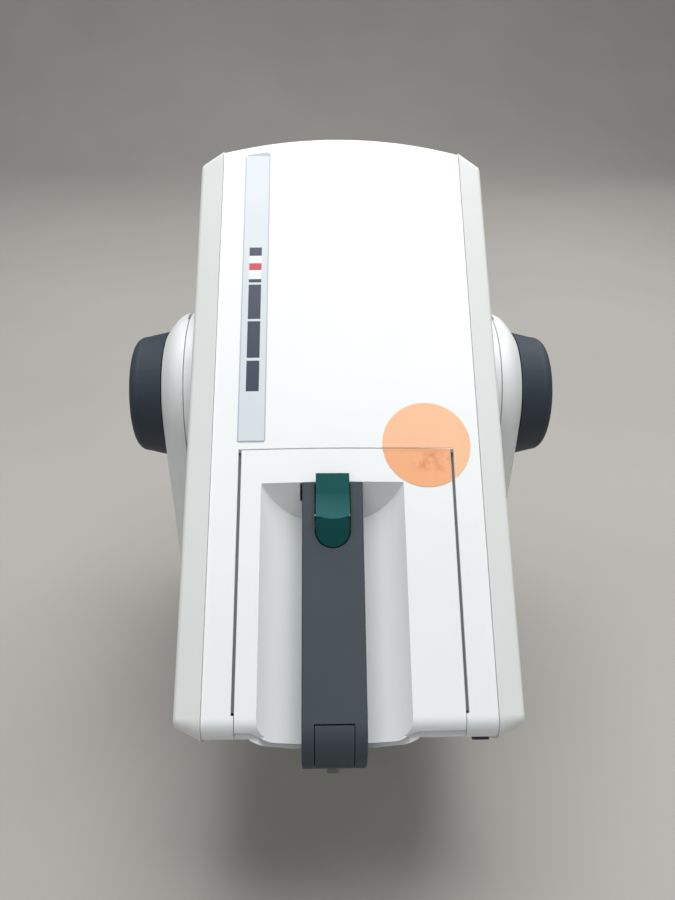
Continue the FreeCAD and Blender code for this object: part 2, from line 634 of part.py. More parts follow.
def make_handle():
    bar = bar_side(0, BAR_X0, BAR_X1)
    bar = fillet_where(bar, BAR_EDGE_ROUND, lambda p: (near(p.x, BAR_X0) or near(p.x, BAR_X1)) and (
        near(p.z, BAR_TOP_N) or p.y < NOSE_S - 1))
    hollow = bar_side(BAR_WALL, BAR_X0 + BAR_WALL, BAR_X1 - BAR_WALL)
    foot_end = SCOOP_TOP_S + SCOOP_FLOOR_N / math.tan(math.radians(SCOOP_SLOPE))
    below = box(BAR_X0 + BAR_WALL, BAR_X1 - BAR_WALL, NOSE_S, foot_end, SCOOP_FLOOR_N - 1, SCOOP_FLOOR_N + 4)
    bar = bar.cut(hollow).cut(below)
    slot_r = KEY_WIDTH / 2 + KEY_GAP
    slot_s = KEY_FOOT_S + KEY_WIDTH / 2
    shell_n = BAR_TOP_N - BAR_WALL
    slot = rod_z(DRIVE_X, slot_s, slot_r, shell_n - 1, 20)
    slot = slot.fuse(box(DRIVE_X - slot_r, DRIVE_X + slot_r, slot_s, BAR_TOP_S + 5, shell_n - 3, 20))
    half = TAB_WIDTH / 2
    turn = math.degrees(TAB_GAP / BAR_NOSE_ROUND)
    top_turn = math.degrees(TAB_TOP_GAP / BAR_NOSE_ROUND)
    window = curl_piece(
        TAB_FROM - top_turn, TAB_TO + turn, BAR_NOSE_ROUND + 1, BAR_NOSE_ROUND - BAR_WALL - 3,
        DRIVE_X - half - TAB_GAP, DRIVE_X + half + TAB_GAP)
    room = HOOK_HALF + FREE_CLEAR
    x0, x1 = DRIVE_X - room, DRIVE_X + room
    back = box(x0, x1, NOSE_S - BAR_WALL - 1, NOSE_S, BAR_TIP_N + BAR_WALL, SCOOP_FLOOR_N + 1)
    bar = bar.cut(slot).cut(window).cut(back)
    bosses = [rod_z(DRIVE_X, s, BAR_BOSS_R, SCOOP_FLOOR_N, shell_n + 0.5) for s in BAR_BOSS_S]
    return fuse([bar] + bosses)


def make_start_key():
    half = KEY_WIDTH / 2
    centre_s = KEY_FOOT_S + half
    top = BAR_TOP_N
    lean = (KEY_RIDGE_S - KEY_FOOT_S) / KEY_RIDGE_RISE

    def tongue(z):
        left, right = DRIVE_X - half, DRIVE_X + half
        arc = Part.Arc(V(left, centre_s, z), V(DRIVE_X, KEY_FOOT_S, z), V(right, centre_s, z)).toShape()
        end = KEY_END_S + 1
        lines = [V(right, centre_s, z), V(right, end, z), V(left, end, z), V(left, centre_s, z)]
        return Part.Face(Part.Wire([arc] + [Part.makeLine(a, b) for a, b in zip(lines, lines[1:])]))

    rise = 12.0
    ramp = tongue(top).extrude(V(0, rise * lean, rise))
    back = box(DRIVE_X - half, DRIVE_X + half, centre_s + 6, KEY_END_S, top + 0.5, top + rise)
    skirt = tongue(top - 5).extrude(V(0, 0, 5.0))
    skirt = skirt.cut(box(-100, 100, BAR_TOP_S - 3.5, KEY_END_S + 5, -50, top))
    head = fuse([ramp, back])
    dish_s = KEY_RIDGE_S + KEY_DISH_RADIUS * math.sin(math.radians(36.6))
    dish_n = top + KEY_DISH_RISE
    ridge_n = dish_n + KEY_DISH_RADIUS * (1 - math.cos(math.radians(36.6)))
    far_n = dish_n + 1.0
    lid = [
        Part.makeLine(V(-60, KEY_FOOT_S - 20, ridge_n), V(-60, KEY_RIDGE_S, ridge_n)),
        Part.Arc(V(-60, KEY_RIDGE_S, ridge_n),
                 V(-60, dish_s - KEY_DISH_RADIUS * math.sin(math.radians(18.3)),
                   dish_n + KEY_DISH_RADIUS * (1 - math.cos(math.radians(18.3)))),
                 V(-60, dish_s, dish_n)).toShape(),
        Part.makeLine(V(-60, dish_s, dish_n), V(-60, KEY_END_S + 20, far_n + 1.5)),
        Part.makeLine(V(-60, KEY_END_S + 20, far_n + 1.5), V(-60, KEY_END_S + 20, 60)),
        Part.makeLine(V(-60, KEY_END_S + 20, 60), V(-60, KEY_FOOT_S - 20, 60)),
        Part.makeLine(V(-60, KEY_FOOT_S - 20, 60), V(-60, KEY_FOOT_S - 20, ridge_n)),
    ]
    lid = Part.Face(Part.Wire(lid)).extrude(V(120, 0, 0))
    ends = box(-100, 100, KEY_END_S, KEY_END_S + 60, -50, 60)
    head = head.cut(lid).cut(ends)
    head = head.cut(box(-100, 100, BAR_TOP_S - 3.5, KEY_END_S + 5, -50, top + 0.6))
    ear_half = 5.0
    ear = rod_x(KEY_PIVOT_S, KEY_PIVOT_N, 3.6, DRIVE_X - ear_half, DRIVE_X + ear_half)
    x0, x1 = DRIVE_X - ear_half, DRIVE_X + ear_half
    neck = box(x0, x1, KEY_PIVOT_S - 3.2, KEY_PIVOT_S + 2.8, KEY_PIVOT_N, top - 3)
    key = fuse([head, skirt, ear, neck])
    return key.cut(rod_x(KEY_PIVOT_S, KEY_PIVOT_N, 1.5 + RUNNING_CLEAR, -60, 60))


def make_key_pin():
    return rod_x(KEY_PIVOT_S, KEY_PIVOT_N, 1.5, BAR_X0 + BAR_WALL, BAR_X1 - BAR_WALL)


def make_start_switch():
    base = SCOOP_FLOOR_N + BAR_SEAT_CLEAR
    body = box(DRIVE_X - 3.2, DRIVE_X + 3.2, 96, 112, base, base + 8)
    plunger = rod_z(DRIVE_X, 101, 1.2, base + 8, -2.8)
    return body.fuse(plunger)


def make_release_latch():
    """Push tab in the curl, with a plate that reaches down to two hooks behind the handle."""
    half = TAB_WIDTH / 2
    inner_r = BAR_NOSE_ROUND - TAB_THICK
    tab = curl_piece(TAB_FROM, TAB_TO, BAR_NOSE_ROUND, inner_r, DRIVE_X - half, DRIVE_X + half)
    x0, x1 = DRIVE_X - HOOK_HALF, DRIVE_X + HOOK_HALF
    hook_top = CATCH_LOW_N - HOOK_GAP
    hook_low = hook_top - 2.2
    web_half = half - 1
    plate_s0, plate_s1 = -8.0, -6.4
    plate = prism_x([
        (plate_s0, TAB_PIVOT_N - 2, 0), (plate_s0, hook_low, 0), (plate_s1, hook_low, 0),
        (plate_s1, TAB_PIVOT_N - 4, 0), (TAB_PIVOT_S, TAB_PIVOT_N, 0)], x0, x1)
    hooks = box(x0, x1, plate_s0, HOOK_END_S, hook_low, hook_top)
    hooks = hooks.cut(box(x0 + 3.2, x1 - 3.2, plate_s1, 20, -60, 0))
    web = prism_x([
        (plate_s0, TAB_PIVOT_N - 2, 0), (TAB_PIVOT_S, TAB_PIVOT_N, 0), (-4.2, -3.6, 0), (-7.6, -6.4, 0)],
        DRIVE_X - web_half, DRIVE_X + web_half)
    eye = rod_x(TAB_PIVOT_S, TAB_PIVOT_N, 2.1, x0, x1)
    latch = fuse([tab, plate, hooks, web, eye])
    return latch.cut(rod_x(TAB_PIVOT_S, TAB_PIVOT_N, 1.2 + RUNNING_CLEAR, -60, 60))


def make_latch_pin():
    return rod_x(TAB_PIVOT_S, TAB_PIVOT_N, 1.2, BAR_X0 + BAR_WALL, BAR_X1 - BAR_WALL)


# ---- drive ------------------------------------------------------------------------------
def make_rack(x):
    pitch = math.pi * RACK_MODULE
    root_n = RACK_PITCH_N + 1.25 * RACK_MODULE
    tip_n = RACK_PITCH_N - RACK_MODULE
    lean = math.tan(math.radians(PRESSURE_ANGLE))
    half = pitch / 4 - BACKLASH / 4
    x0 = x - RACK_WIDTH / 2
    end_s = PLUNGER_BACK_S + RACK_LENGTH
    points = [V(x0, end_s, RACK_BACK_N), V(x0, PLUNGER_BACK_S, RACK_BACK_N), V(x0, PLUNGER_BACK_S, root_n)]
    first = math.ceil((PLUNGER_BACK_S + 6 - AXLE_S) / pitch)
    last = math.floor((end_s - 3 - AXLE_S) / pitch)
    for i in range(first, last):
        middle = AXLE_S + (i + 0.5) * pitch
        foot = half + lean * (RACK_PITCH_N - root_n) * -1
        tip = half - lean * (RACK_PITCH_N - tip_n)
        points += [V(x0, middle - foot, root_n), V(x0, middle - tip, tip_n),
                   V(x0, middle + tip, tip_n), V(x0, middle + foot, root_n)]
    points += [V(x0, end_s, root_n), V(x0, end_s, RACK_BACK_N)]
    return Part.Face(Part.makePolygon(points)).extrude(V(RACK_WIDTH, 0, 0))


def make_plunger(x, radius):
    front = PLUNGER_BACK_S - PLUNGER_THICK
    disc = rod_y(x, SHAFT_N, radius, front, PLUNGER_BACK_S)
    return fillet_where(disc, 1.5, lambda p: near(p.y, front))


def make_drive():
    journal_s = SHAFT_TIP_S + HEX_LENGTH
    shoulder_s = journal_s + SHAFT_END_LENGTH
    shaft = fuse([
        rod_y(DRIVE_X, SHAFT_N, SHAFT_END_R, journal_s, shoulder_s),
        rod_y(DRIVE_X, SHAFT_N, SHAFT_R, shoulder_s, GEAR_STAGE_S + 20)])
    hexagon = [V(DRIVE_X + HEX_FLATS / math.sqrt(3) * math.cos(math.radians(60 * i)), SHAFT_TIP_S,
                 SHAFT_N + HEX_FLATS / math.sqrt(3) * math.sin(math.radians(60 * i))) for i in range(7)]
    tip = Part.Face(Part.makePolygon(hexagon)).extrude(V(0, HEX_LENGTH, 0))
    shaft = shaft.fuse(tip)
    below = -90 + MOTOR_SWING
    shaft_gear = turned_to_s(gear(SHAFT_GEAR_TEETH, FINE_MODULE, SHAFT_R, GEAR_WIDTH, 0))
    shaft_gear = spin_to(shaft_gear, below)
    motor_gear = turned_to_s(gear(MOTOR_GEAR_TEETH, FINE_MODULE, 3.0, GEAR_WIDTH, 180.0 / MOTOR_GEAR_TEETH))
    motor_gear = spin_to(motor_gear, below + 180)
    shaft_gear.translate(V(DRIVE_X, GEAR_STAGE_S, SHAFT_N))
    motor_gear.translate(V(MOTOR_X, GEAR_STAGE_S, MOTOR_N))
    output = rod_y(MOTOR_X, MOTOR_N, 3.0, GEAR_STAGE_S - 2, MOTOR_PLATE_S)
    motor_gear = motor_gear.fuse(output)
    bearing = rod_y(DRIVE_X, SHAFT_N, BEARING_R, 0, BEARING_WIDTH).cut(
        rod_y(DRIVE_X, SHAFT_N, SHAFT_R + RUNNING_CLEAR, -1, BEARING_WIDTH + 1))
    front_bearing = bearing.translated(V(0, BULKHEAD_S, 0))
    rear_bearing = bearing.translated(V(0, MOTOR_PLATE_S, 0))
    gearbox = fuse([
        rod_y(MOTOR_X, MOTOR_N, 18, MOTOR_PLATE_S + BULKHEAD_THICK, 290),
        rod_y(MOTOR_X, MOTOR_N, 6, MOTOR_PLATE_S, MOTOR_PLATE_S + BULKHEAD_THICK)])
    motor = fuse([rod_y(MOTOR_X, MOTOR_N, 17, 290, 336), rod_y(MOTOR_X, MOTOR_N, 5, 336, 340)])
    return {
        "mixer_drive_shaft": shaft,
        "mixer_shaft_gear": shaft_gear,
        "mixer_motor_gear": motor_gear,
        "shaft_bearings": Part.makeCompound([front_bearing, rear_bearing]),
        "mixer_gearbox": gearbox,
        "mixer_motor": motor,
    }


def spin_to(shape, degrees):
    """Turns a gear that lies about +Y so that what pointed at +X points at degrees up from +X."""
    return shape.rotated(V(0, 0, 0), V(0, 1, 0), -degrees)


def make_axle_group():
    reach = WHEEL_X0 + 14
    axle = rod_x(AXLE_S, AXLE_N, AXLE_R, -reach, reach)
    pinions = []
    for x in (BASE_X, CATALYST_X):
        pinion = gear(RACK_PINION_TEETH, RACK_MODULE, AXLE_R, RACK_WIDTH + 2, 90)
        pinion.translate(V(x - RACK_WIDTH / 2 - 1, AXLE_S, AXLE_N))
        pinions.append(pinion)
    towards = 180 + FEED_DROP
    feed_x = 44.0
    feed_gear = gear(FEED_GEAR_TEETH, FINE_MODULE, AXLE_R, GEAR_WIDTH, towards)
    feed_gear.translate(V(feed_x, AXLE_S, AXLE_N))
    facing = towards - 180 + 180.0 / FEED_PINION_TEETH
    feed_pinion = gear(FEED_PINION_TEETH, FINE_MODULE, 2.5, GEAR_WIDTH, facing)
    feed_pinion = feed_pinion.fuse(rod_x(0, 0, 2.5, 41.5 - feed_x, GEAR_WIDTH + 1))
    feed_pinion.translate(V(feed_x, FEED_S, FEED_N))
    feed_motor = fuse([rod_x(FEED_S, FEED_N, 10, -20, 40), rod_x(FEED_S, FEED_N, 4, -24, -20)])
    bracket = box(40, 41.5, BULKHEAD_S + BULKHEAD_THICK, FEED_S + 13, FEED_N - 9.5, FEED_N + 14)
    bracket = bracket.cut(rod_x(FEED_S, FEED_N, 4, 39, 43))
    return {
        "wheel_axle": axle,
        "rack_pinions": Part.makeCompound(pinions),
        "feed_gear": feed_gear,
        "feed_pinion": feed_pinion,
        "feed_gearmotor": feed_motor,
        "feed_motor_bracket": bracket,
    }


def make_wheel():
    """Right-hand wheel: tapered rim, rounded outer edge, dished face and hollow back."""
    inner, outer = WHEEL_X0, WHEEL_X1
    p = lambda x, r: V(x, AXLE_S, AXLE_N + r)
    edge = WHEEL_EDGE_ROUND
    half = math.sqrt(0.5)
    corner = (outer - edge, WHEEL_FACE_R - edge)
    hub = 13.0
    back = 13.0
    lines = [
        p(inner, WHEEL_R), p(outer - edge, WHEEL_FACE_R),
        p(corner[0] + edge * half, corner[1] + edge * half), p(outer, WHEEL_FACE_R - edge),
        p(outer - 2.5, 17), p(outer - 2.5, AXLE_R), p(inner, AXLE_R), p(inner, hub), p(inner + back, hub),
        p(inner + back, WHEEL_R - 5), p(inner, WHEEL_R - 4),
    ]
    edges = [Part.makeLine(lines[0], lines[1]), Part.Arc(*lines[1:4]).toShape()]
    edges += [Part.makeLine(a, b) for a, b in zip(lines[3:], lines[4:] + lines[:1])]
    face = Part.Face(Part.Wire(edges))
    return face.revolve(V(0, AXLE_S, AXLE_N), V(1, 0, 0), 360)


def make_wheel_cap():
    x0 = WHEEL_X1 - 2.5
    cap = rod_x(AXLE_S, AXLE_N, 16.5, x0, x0 + 3.4)
    return fillet_where(cap, 1.2, lambda p: near(p.x, x0 + 3.4))


# ---- chassis ----------------------------------------------------------------------------
def make_chassis():
    x0, x1 = PLATE_INNER_X, PLATE_INNER_X + PLATE_THICK
    cut = PLATE_FRONT_S + 36
    plate = prism_x([
        (PLATE_FRONT_S, PLATE_TOP_N, 0), (PLATE_REAR_S, PLATE_TOP_N, 8), (PLATE_REAR_S, PLATE_LOW_N, 20),
        (cut, PLATE_LOW_N, 6), (PLATE_FRONT_S, PLATE_LOW_N + 36, 6)], x0, x1)
    plate = plate.cut(rod_x(AXLE_S, AXLE_N, TRUNNION_BORE, x0 - 1, x1 + 1))
    for s0, s1 in ((40, 130), (285, 325)):
        window = prism_x([(s0, -40, 6), (s1, -40, 6), (s1, -80, 6), (s0, -80, 6)], x0 - 1, x1 + 1)
        plate = plate.cut(window)
    wide = PLATE_INNER_X
    narrow = CRADLE_HALF - 0.5
    step = HINGE_N - HINGE_ARM_REACH - HINGE_ARM_WIDTH / 2 - 3
    bulkhead = prism_y([
        (-wide, PLATE_LOW_N, 0), (wide, PLATE_LOW_N, 0), (wide, step, 0), (narrow, step, 0),
        (narrow, -20, 4), (-narrow, -20, 4), (-narrow, step, 0), (-wide, step, 0)],
        BULKHEAD_S, BULKHEAD_S + BULKHEAD_THICK)
    rear = prism_y([
        (-wide, PLATE_LOW_N, 0), (wide, PLATE_LOW_N, 0), (wide, -14, 6), (-wide, -14, 6)],
        MOTOR_PLATE_S, MOTOR_PLATE_S + BULKHEAD_THICK)
    rack_low = RACK_PITCH_N - RACK_MODULE
    for x in (BASE_X, CATALYST_X):
        half = RACK_WIDTH / 2 + FREE_CLEAR
        window = box(x - half, x + half, 100, 300, rack_low - FREE_CLEAR, RACK_BACK_N + FREE_CLEAR)
        bulkhead = bulkhead.cut(window)
        rear = rear.cut(window)
    bearing_seat = rod_y(DRIVE_X, SHAFT_N, BEARING_R, 100, 300)
    bulkhead = bulkhead.cut(bearing_seat)
    rear = rear.cut(bearing_seat).cut(rod_y(MOTOR_X, MOTOR_N, 6, 100, 300))
    guides = []
    for x in (BASE_X, CATALYST_X):
        half = RACK_WIDTH / 2 + FREE_CLEAR / 2
        block = box(x - half - 2, x + half + 2, 212, 236, RACK_BACK_N - 12, RACK_BACK_N + 8)
        block = block.cut(box(x - half, x + half, 200, 250, RACK_BACK_N - 20, RACK_BACK_N + 0.2))
        guides.append(block)
    rail = box(-PLATE_INNER_X + 0.05, PLATE_INNER_X - 0.05, 219, 229, RACK_BACK_N + 8, RACK_BACK_N + 11)
    rod_places = ((308, -20), (308, PLATE_LOW_N + 5), (240, -14))
    tie_rods = [rod_x(s, n, 4, -PLATE_INNER_X, PLATE_INNER_X) for s, n in rod_places]
    return {
        "chassis_plates": both_sides(plate),
        "front_bulkhead": bulkhead,
        "motor_plate": rear,
        "rack_guides": Part.makeCompound(guides),
        "guide_rail": rail,
        "tie_rods": Part.makeCompound(tie_rods),
    }


def make_cradle():
    """Open tray that carries the paste cartridge under the flap."""
    wall = CRADLE_WALL
    front, rear = CRADLE_FRONT_S, BULKHEAD_S - 0.1
    outer = box(-CRADLE_HALF, CRADLE_HALF, front, rear, CRADLE_FLOOR_N, CRADLE_TOP_N)
    inner = box(-CRADLE_HALF + wall, CRADLE_HALF - wall, front + wall, rear + 5, CRADLE_FLOOR_N + wall, 10)
    tray = outer.cut(inner).cut(port_tool())
    lip = box(CRADLE_HALF, PLATE_INNER_X, 30, 120, CRADLE_FLOOR_N, CRADLE_FLOOR_N + wall)
    return fuse([tray, lip, mirrored(lip)])


def make_trunnion():
    x0 = PLATE_INNER_X + PLATE_THICK
    flange = rod_x(AXLE_S, AXLE_N, TRUNNION_R + 7, x0, x0 + 4)
    tube = rod_x(AXLE_S, AXLE_N, TRUNNION_R, x0 + 4, UPRIGHT_X0)
    whole = flange.fuse(tube)
    return whole.cut(rod_x(AXLE_S, AXLE_N, TRUNNION_BORE, x0 - 1, UPRIGHT_X0 + 1)).removeSplitter()


def make_axle_bushes():
    x1 = UPRIGHT_X0
    bush = rod_x(AXLE_S, AXLE_N, TRUNNION_BORE, x1 - 14, x1)
    bush = bush.cut(rod_x(AXLE_S, AXLE_N, AXLE_R + RUNNING_CLEAR, x1 - 15, x1 + 1))
    return both_sides(bush)


def make_control_board():
    floor = -BODY_DEPTH + WALL
    low = floor + BOARD_POST
    top = low + 1.6
    board = box(-44, 44, 262, 338, low, top)
    parts = [
        box(-38, -18, 270, 296, top, top + 7.4), box(-10, 6, 320, 336, top, top + 8.4),
        rod_z(30, 282, 6, top, top + 9.4), rod_z(-30, 328, 5, top, top + 9.4),
        box(16, 36, 316, 334, top, top + 4.4)]
    posts = [rod_z(x, s, 3, floor, low) for x in (-40, 40) for s in (268, 328)]
    return fuse([board] + parts + posts)


def make_label():
    """Thin label beside the left seam, lying on the crowned top face."""
    x0, x1, s0, s1, thick = -62.3, -46.3, 160.6, 357.6, 0.35
    skin = middle_block(-thick, SEAM_X).cut(middle_block(0, SEAM_X))
    slant = (x1 - x0) * 0.18
    outline = [(x0, s0, 1.5), (x1, s0, 1.5), (x1, s1 + slant, 2.5), (x0, s1, 2.5)]
    return skin.common(prism_z(outline, -20, 20))


def make_sticker():
    """Round sticker over the flap's top right corner, in two halves that part at the seam."""
    x, s, radius, thick = 46.0, 158.8, 25.4, 0.2
    skin = middle_block(-thick, SEAM_X).cut(middle_block(0, SEAM_X))
    disc = skin.common(rod_z(x, s, radius, -20, 20))
    flap_area = box(-FLAP_HALF, FLAP_HALF, -60, FLAP_TOP_S, -60, 60)
    hole = box(-FLAP_OPENING_HALF, FLAP_OPENING_HALF, -60, FLAP_TOP_S + FLAP_TOP_GAP, -60, 60)
    return disc.cut(hole), disc.common(flap_area)


# ---- stand ------------------------------------------------------------------------------
def hub_point():
    """Where the wheel axle lies in the row frame, as (y, z) before the final centring."""
    a = math.radians(TILT)
    y = AXLE_S * math.cos(a) - AXLE_N * math.sin(a)
    z = LIFT + AXLE_S * math.sin(a) + AXLE_N * math.cos(a)
    return y, z


def foot_side(inset):
    """Side outline of the foot between the arms, as (y from the axle, z, radius)."""
    low = RUBBER_HEIGHT
    return [
        (FOOT_FRONT + inset, low, 0), (FOOT_FRONT + inset, low + 13 - inset, max(8 - inset, 1)),
        (-58, 38 - inset, 60), (0, 84 - inset, 30), (60, 96 - inset, 30),
        (FOOT_REAR - inset, 84 - inset, max(16 - inset, 1)), (FOOT_REAR - inset, low, 0),
    ]


def foot_plan(inset):
    """Plan outline of the foot, as (x, y from the axle, radius)."""
    wide = ARM_X1 - inset
    toe = FOOT_TOE_HALF - inset
    front = FOOT_FRONT + inset
    rear = FOOT_REAR - inset
    big, small = 40 - inset, 22 - inset
    return [
        (-wide, rear, small), (wide, rear, small), (wide, -56, big), (toe, front, small),
        (-toe, front, small), (-wide, -56, big)]


def arm_side(inset, hub_y, hub_z):
    """Side outline of an arm: a round head on a column."""
    r = HUB_RING_R - inset
    y = hub_y
    return [
        (y - 46 + inset, RUBBER_HEIGHT, 0), (y - r, hub_z - 6, 30), (y - r, hub_z + r, r - 0.01),
        (y + r, hub_z + r, r - 0.01), (y + r, hub_z - 6, 30), (y + 56 - inset, RUBBER_HEIGHT, 0)]


def arm_solid(inset, hub_y, hub_z):
    """Right arm, domed towards its outer face, drawn in by inset all round."""
    x0, x1 = ARM_X0 + inset, ARM_X1 - inset
    stations = [(x0, 0), (x0 + 0.25 * (x1 - x0), 0.05), (x0 + 0.6 * (x1 - x0), 0.36), (x1, 1)]
    wires = []
    for x, share in stations:
        corners = arm_side(inset + share * ARM_DOME_FALL, hub_y, hub_z)
        wires.append(rounded_wire(corners, lambda u, v, x=x: V(x, u, v)))
    return Part.makeLoft(wires, True, False)


def foot_solid(inset, hub_y):
    foot = prism_x([(u + hub_y, v, r) for u, v, r in foot_side(inset)], -ARM_X1 - 1, ARM_X1 + 1)
    plan = [(x, y + hub_y, r) for x, y, r in foot_plan(inset)]
    return foot.common(prism_z(plan, 0, 200))


def make_stand_covers():
    hub_y, hub_z = hub_point()
    rear_y = hub_y + FOOT_REAR
    arm_room = arm_solid(ARM_WALL, hub_y, hub_z)
    arm = arm_solid(0, hub_y, hub_z).cut(arm_room).cut(foot_solid(-SEAM_GAP, hub_y))
    arm = arm.cut(rod_x(hub_y, hub_z, TRUNNION_R + 1.0, ARM_X0 - 5, ARM_X0 + ARM_WALL + 1))
    arm = arm.cut(rod_x(hub_y, hub_z, AXLE_R + 3, ARM_X0, ARM_X1 + 5))
    front = arm.common(box(0, 300, hub_y - 400, hub_y - SEAM_GAP / 2, -50, 500))
    rear = arm.common(box(ARM_X0 + REAR_ARM_GAP, 300, hub_y + SEAM_GAP / 2, hub_y + 400, -50, 500))
    foot = foot_solid(0, hub_y).cut(foot_solid(ARM_WALL, hub_y)).cut(arm_room).cut(mirrored(arm_room))
    under = prism_z([(x, y + hub_y, r) for x, y, r in foot_plan(ARM_WALL)], -5, RUBBER_HEIGHT + 8)
    foot = foot.cut(under)
    y0, y1 = rear_y - 10, rear_y + 5
    foot = foot.cut(box(INLET_X - 13.6, INLET_X + 13.6, y0, y1, SOCKET_Z - 9.9, SOCKET_Z + 9.9))
    foot = foot.cut(box(SWITCH_X - 10.7, SWITCH_X + 10.7, y0, y1, SOCKET_Z - 7.2, SOCKET_Z + 7.2))
    for i in range(VENT_COUNT):
        z = VENT_LOW_Z + i * VENT_PITCH
        top = z + VENT_HEIGHT
        corners = [(-VENT_HALF, z), (VENT_HALF, z), (VENT_HALF, top), (-VENT_HALF, top)]
        foot = foot.cut(prism_y([(x, z, 0.8) for x, z in corners], y0, y1))
    return {
        "arm_front_covers": both_sides(front),
        "arm_rear_covers": both_sides(rear),
        "foot_cover": foot,
    }


def make_stand_frame():
    hub_y, hub_z = hub_point()
    z0 = RUBBER_HEIGHT
    clear = ARM_WALL + 0.3
    plan = [(x, y + hub_y, r) for x, y, r in foot_plan(clear)]
    plate = prism_z(plan, z0, z0 + FOOT_PLATE_THICK)
    for sx in (-1, 1):
        for sy in (-1, 1):
            x, y = sx * BENCH_SPACING_X / 2, sy * BENCH_SPACING_Y / 2
            plate = plate.cut(rod_z(x, y + hub_y - 10, BENCH_HOLE_R, z0 - 1, z0 + FOOT_PLATE_THICK + 1))
    top = z0 + FOOT_PLATE_THICK
    upright = prism_x([
        (hub_y - 34, top, 0), (hub_y - 28, hub_z - 20, 10), (hub_y - 28, hub_z + 28, 27.9),
        (hub_y + 28, hub_z + 28, 27.9), (hub_y + 28, hub_z - 20, 10), (hub_y + 34, top, 0)],
        UPRIGHT_X0, UPRIGHT_X0 + UPRIGHT_THICK)
    upright = upright.cut(rod_x(hub_y, hub_z, AXLE_R + 2, UPRIGHT_X0 - 1, UPRIGHT_X0 + UPRIGHT_THICK + 1))
    foot = box(UPRIGHT_X0 - 18, UPRIGHT_X0, hub_y - 34, hub_y + 34, top, top + 3)
    upright = upright.fuse(foot).removeSplitter()
    feet = []
    for x in (-88, 88):
        feet.append(rod_z(x, hub_y + 70, RUBBER_R, 0, z0))
    for x in (-56, 56):
        feet.append(rod_z(x, hub_y + FOOT_FRONT + 16, RUBBER_R, 0, z0))
    feet = [fillet_where(f, 1.0, lambda p: near(p.z, 0)) for f in feet]
    return {
        "steel_base_plate": plate,
        "uprights": both_sides(upright),
        "rubber_feet": Part.makeCompound(feet),
    }


def make_power():
    hub_y, _ = hub_point()
    rear_y = hub_y + FOOT_REAR
    frame = fuse([
        box(INLET_X - 13.5, INLET_X + 13.5, rear_y - 22, rear_y + 1, SOCKET_Z - 9.8, SOCKET_Z + 9.8),
        box(INLET_X - 15.5, INLET_X + 15.5, rear_y + 0.05, rear_y + 2, SOCKET_Z - 12, SOCKET_Z + 12)])
    mouth = prism_y([
        (INLET_X - 11.5, SOCKET_Z - 7.6, 1), (INLET_X + 11.5, SOCKET_Z - 7.6, 1),
        (INLET_X + 11.5, SOCKET_Z + 3, 1), (INLET_X + 7, SOCKET_Z + 7.6, 1),
        (INLET_X - 7, SOCKET_Z + 7.6, 1), (INLET_X - 11.5, SOCKET_Z + 3, 1)], rear_y - 15, rear_y + 5)
    frame = frame.cut(mouth)
    pins = []
    for dx, dz in ((-7, -2), (0, 2), (7, -2)):
        x, z = INLET_X + dx, SOCKET_Z + dz
        pins.append(box(x - 1, x + 1, rear_y - 15, rear_y - 2, z - 2, z + 2))
    bezel = fuse([
        box(SWITCH_X - 10.6, SWITCH_X + 10.6, rear_y - 12, rear_y + 1, SOCKET_Z - 7.1, SOCKET_Z + 7.1),
        box(SWITCH_X - 12.5, SWITCH_X + 12.5, rear_y + 0.05, rear_y + 2, SOCKET_Z - 9, SOCKET_Z + 9)])
    x0, x1 = SWITCH_X - 8.8, SWITCH_X + 8.8
    bezel = bezel.cut(box(x0, x1, rear_y - 10, rear_y + 5, SOCKET_Z - 5.4, SOCKET_Z + 5.4))
    pivot_y = rear_y - 2.5
    rocker = prism_z([
        (SWITCH_X - 7.9, pivot_y - 1.5, 0), (SWITCH_X + 7.9, pivot_y - 1.5, 0),
        (SWITCH_X + 8.0, pivot_y + 3.8, 0.6), (SWITCH_X, pivot_y + 2.8, 20),
        (SWITCH_X - 8.0, pivot_y + 3.8, 0.6)],
        SOCKET_Z - 5.1, SOCKET_Z + 5.1)
    rocker = rocker.rotated(V(SWITCH_X, pivot_y, 0), V(0, 0, 1), -8)
    rocker = rocker.cut(rod_z(SWITCH_X, pivot_y, 1.0 + RUNNING_CLEAR, SOCKET_Z - 20, SOCKET_Z + 20))
    pin = rod_z(SWITCH_X, pivot_y, 1.0, SOCKET_Z - 5.4, SOCKET_Z + 5.4)
    floor = RUBBER_HEIGHT + FOOT_PLATE_THICK
    supply = fuse([
        box(-34, 34, hub_y - 25, hub_y + 30, floor + 2, floor + 46),
        box(-22, 22, hub_y - 37, hub_y + 42, floor + 8, floor + 40),
        box(-40, 40, hub_y - 12, hub_y + 18, floor, floor + 2)])
    return {
        "mains_inlet": frame,
        "inlet_pins": Part.makeCompound(pins),
        "switch_bezel": bezel.fuse(pin),
        "power_rocker": rocker,
        "transformer": supply,
    }


# ---- screws -----------------------------------------------------------------------------
def make_bottom_screws():
    screws = []
    for x in (-55, 55):
        y = REAR_MID_S - REAR_RADIUS + math.sqrt(REAR_RADIUS ** 2 - x ** 2)
        shank = rod_y(x, COVER_SCREW_N, 2.0, y - 12, y + 1)
        screws.append(shank.fuse(rod_y(x, COVER_SCREW_N, 3.6, y + 0.8, y + 2.8)))
    return Part.makeCompound(screws)


def make_front_plug():
    return rod_y(69.5, -17, 4.6, FRONT_S - 1.6, FRONT_S)


